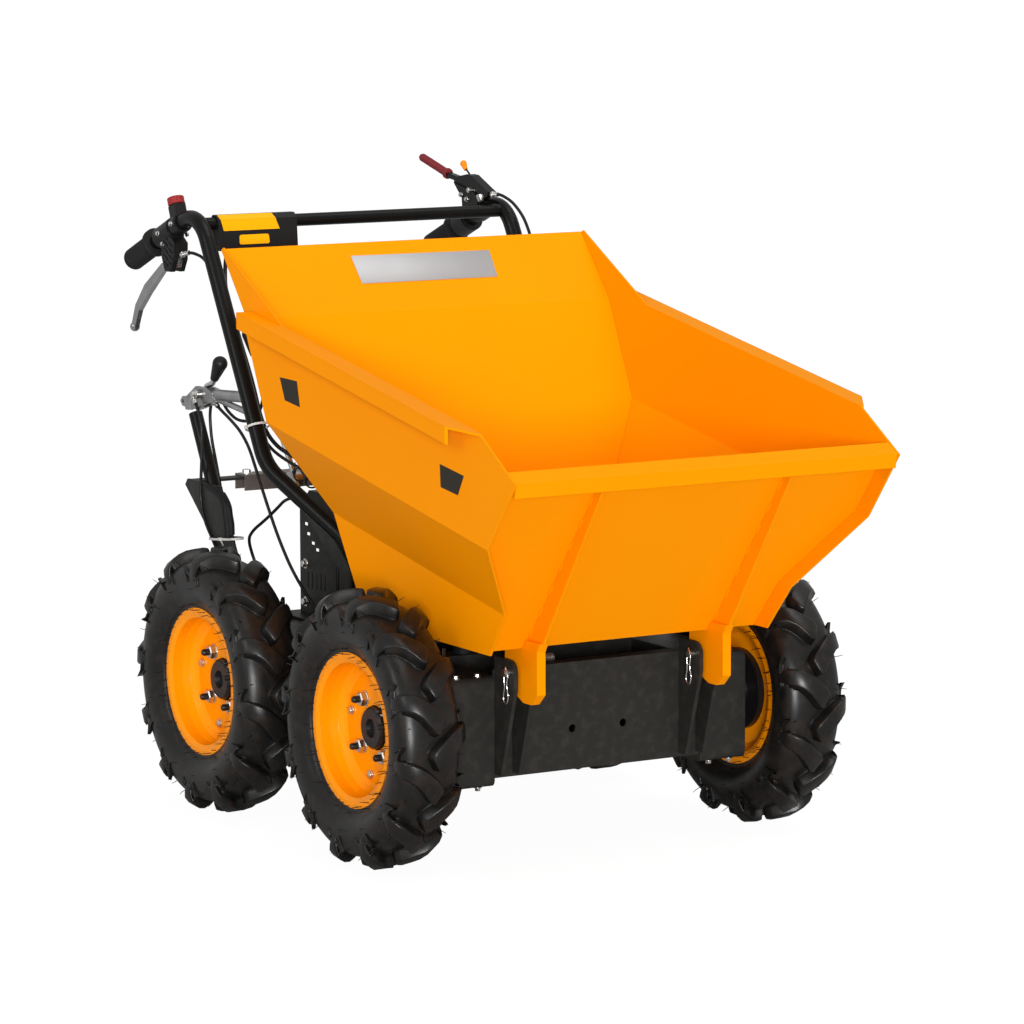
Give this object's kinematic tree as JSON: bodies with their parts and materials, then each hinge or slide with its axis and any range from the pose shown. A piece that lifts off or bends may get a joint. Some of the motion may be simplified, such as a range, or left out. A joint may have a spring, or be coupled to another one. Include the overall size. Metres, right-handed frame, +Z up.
{
  "type": "site dumper",
  "caption": "Walk-behind wheeled dumper: folded steel skip that tips forward on a low frame, lugged tyres, side drive cases, rear engine, twin handles with levers.",
  "frame": {"origin": "on the ground, at the middle of the overall width and length", "axes": "+Z up, the front (the skip's pouring lip) faces -Y, the machine's left side is +X"},
  "size_m": [0.766, 1.28, 0.9763],
  "materials": {
    "tyre_rubber": "matte moulded rubber",
    "orange_paint": "satin powder coat",
    "frame_paint": "satin powder coat",
    "dark_steel": "painted casting",
    "zinc_steel": "zinc plated",
    "chrome_steel": "polished",
    "cast_alloy": "as cast",
    "black_plastic": "fine grain",
    "orange_plastic": "fine grain",
    "red_plastic": "smooth",
    "soft_rubber": "matte"
  },
  "bodies": {
    "chassis": {"air_cleaner": "black_plastic", "axle_tubes": "frame_paint", "belt_guard": "frame_paint", "brake_bracket": "black_plastic", "brake_lever": "zinc_steel", "cable_sleeves": "black_plastic", "cables": "soft_rubber", "case_covers": "frame_paint", "clutch_clamp": "black_plastic", "clutch_lever": "chrome_steel", "control_panel": "black_plastic", "crossbar": "frame_paint", "drive_cases": "frame_paint", "engine_block": "cast_alloy", "engine_deck": "frame_paint", "frame": "frame_paint", "front_plate": "frame_paint", "fuel_tank": "black_plastic", "gear_bracket": "cast_alloy", "gear_knob": "black_plastic", "gear_lever": "chrome_steel", "gearbox": "dark_steel", "grips": "soft_rubber", "handle_feet": "frame_paint", "handle_tubes": "frame_paint", "hinge_brackets": "frame_paint", "hinge_pins": "zinc_steel", "lever_sleeve": "soft_rubber", "muffler": "zinc_steel", "rear_bar": "frame_paint", "rear_gussets": "frame_paint", "recoil_housing": "black_plastic", "rest_pads": "soft_rubber", "shift_column": "frame_paint", "stop_button": "red_plastic", "stop_switch": "black_plastic", "throttle_housing": "black_plastic", "throttle_lever": "orange_plastic", "tip_bracket": "frame_paint", "tip_lever": "zinc_steel", "tip_lever_grip": "soft_rubber"},
    "skip": {"side_plate_left": "orange_paint", "side_plate_right": "orange_paint", "back_panel": "orange_paint", "front_panel": "orange_paint", "floor_panel": "orange_paint", "front_ribs": "orange_paint"},
    "wheel_front_left": {"tyre_front_left": "tyre_rubber", "rim_front_left": "orange_paint", "hub_front_left": "dark_steel"},
    "wheel_front_right": {"tyre_front_right": "tyre_rubber", "rim_front_right": "orange_paint", "hub_front_right": "dark_steel"},
    "wheel_rear_left": {"tyre_rear_left": "tyre_rubber", "rim_rear_left": "orange_paint", "hub_rear_left": "dark_steel"},
    "wheel_rear_right": {"tyre_rear_right": "tyre_rubber", "rim_rear_right": "orange_paint", "hub_rear_right": "dark_steel"}
  },
  "joints": [
    {"name": "skip_tip", "type": "hinge", "parent": "chassis", "child": "skip", "pos_m": [0, -0.374, 0.293], "axis": [1, 0, 0], "range_deg": [0, 75]},
    {"name": "wheel_spin_front_left", "type": "hinge", "parent": "chassis", "child": "wheel_front_left", "pos_m": [0.329, -0.2405, 0.205], "axis": [1, 0, 0], "continuous": true},
    {"name": "wheel_spin_front_right", "type": "hinge", "parent": "chassis", "child": "wheel_front_right", "pos_m": [-0.329, -0.2405, 0.205], "axis": [1, 0, 0], "continuous": true},
    {"name": "wheel_spin_rear_left", "type": "hinge", "parent": "chassis", "child": "wheel_rear_left", "pos_m": [0.329, 0.2405, 0.205], "axis": [1, 0, 0], "continuous": true},
    {"name": "wheel_spin_rear_right", "type": "hinge", "parent": "chassis", "child": "wheel_rear_right", "pos_m": [-0.329, 0.2405, 0.205], "axis": [1, 0, 0], "continuous": true}
  ]
}
